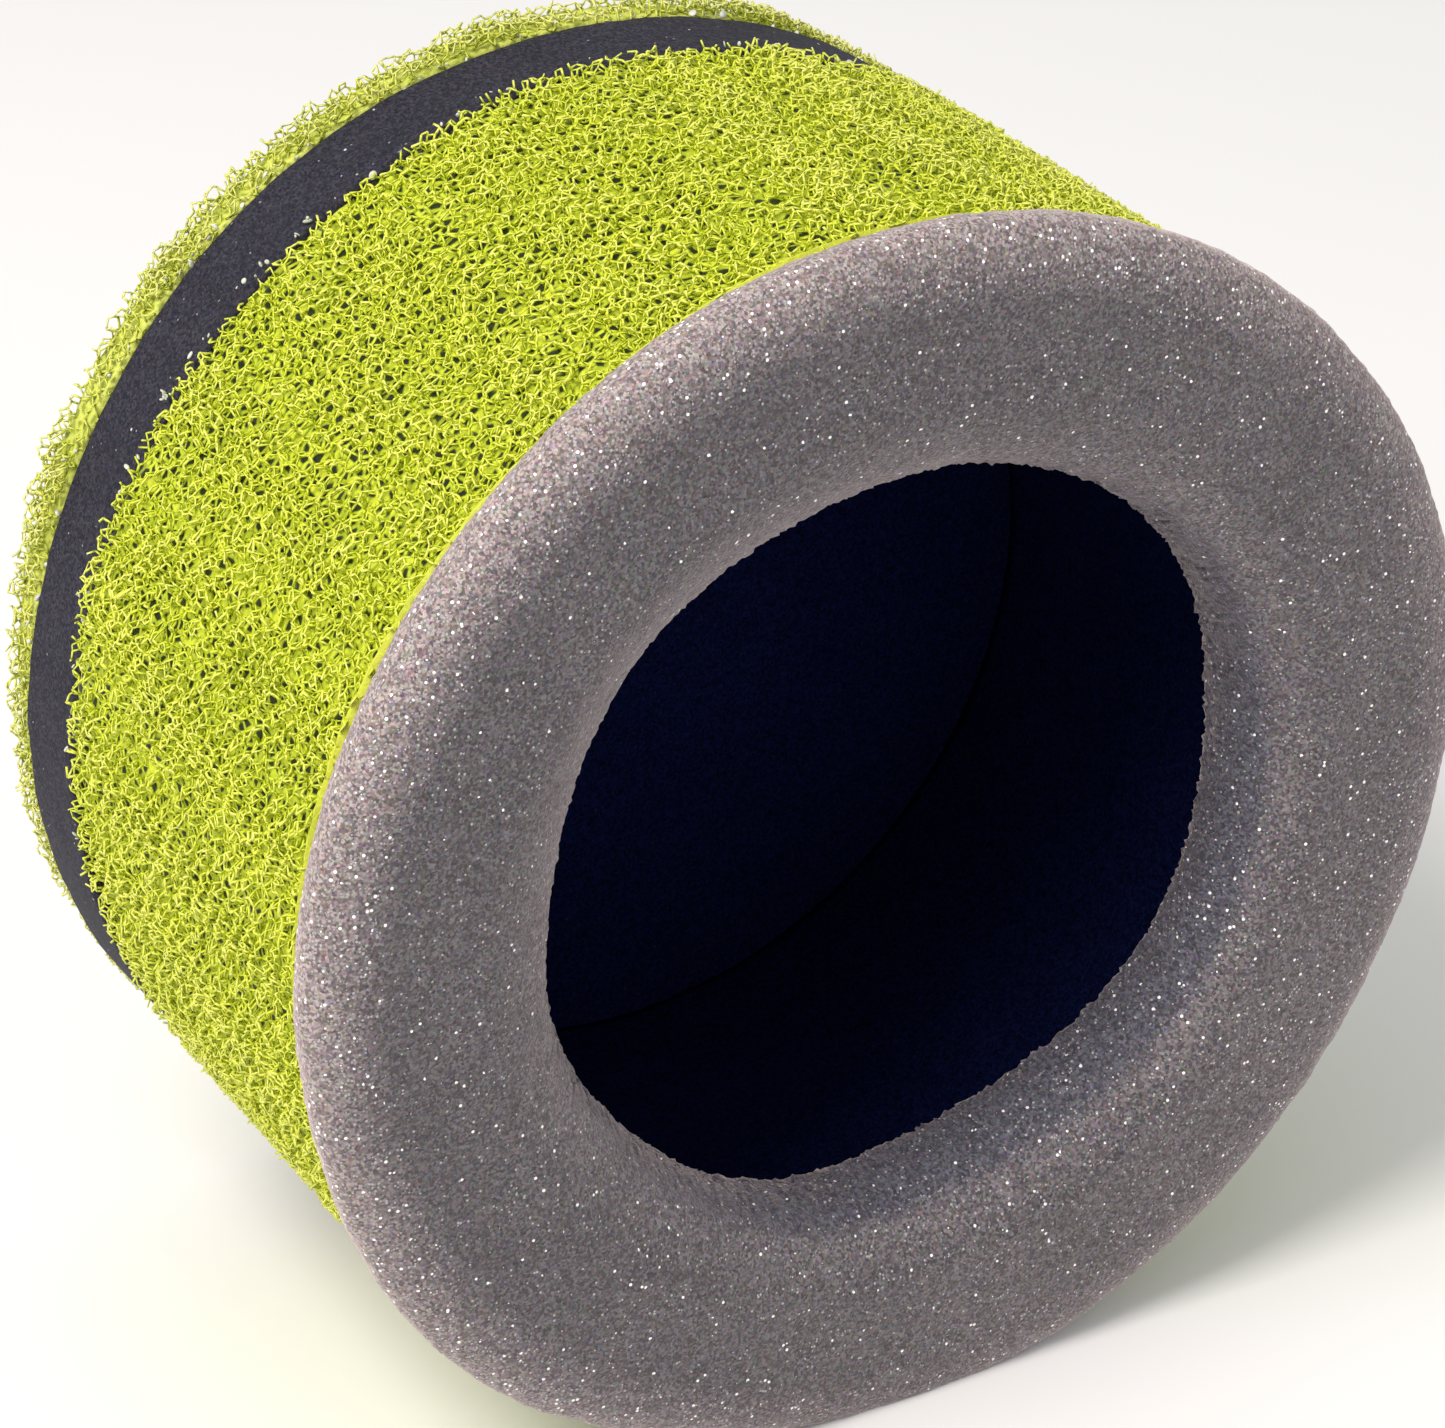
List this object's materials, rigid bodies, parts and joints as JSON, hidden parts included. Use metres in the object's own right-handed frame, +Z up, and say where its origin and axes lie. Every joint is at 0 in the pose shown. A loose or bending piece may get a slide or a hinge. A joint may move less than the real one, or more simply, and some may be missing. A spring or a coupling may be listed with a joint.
{
  "type": "foam filter sleeve",
  "caption": "Round two-stage foam pre-filter cup: coarse green sleeve over fine dark foam, glued end discs and a soft grey mouth ring round an open bore.",
  "frame": {"origin": "on the table under the middle of the bounding box", "axes": "the filter lies on its side: -Y out of the mouth, +Y out of the closed end, +Z up"},
  "size_m": [0.1324, 0.0762, 0.1304],
  "materials": {
    "coarse_foam": "open-cell reticulated polyurethane foam, coarse, yellow-green",
    "dark_fine_foam": "open-cell polyurethane foam, fine, navy charcoal",
    "grey_fine_foam": "open-cell polyurethane foam, fine, mid grey with a slight pink cast",
    "adhesive": "dried contact adhesive, greyish and slightly clear"
  },
  "bodies": {
    "root": {"coarse_sleeve": "coarse_foam", "coarse_sleeve_seam": "adhesive", "fine_sleeve": "dark_fine_foam", "fine_sleeve_seam": "adhesive", "mouth_ring": "grey_fine_foam", "mouth_ring_glue": "adhesive", "fine_end_disc": "dark_fine_foam", "end_joint_glue": "adhesive", "coarse_end_disc": "coarse_foam", "disc_bond_glue": "adhesive"}
  },
  "joints": []
}
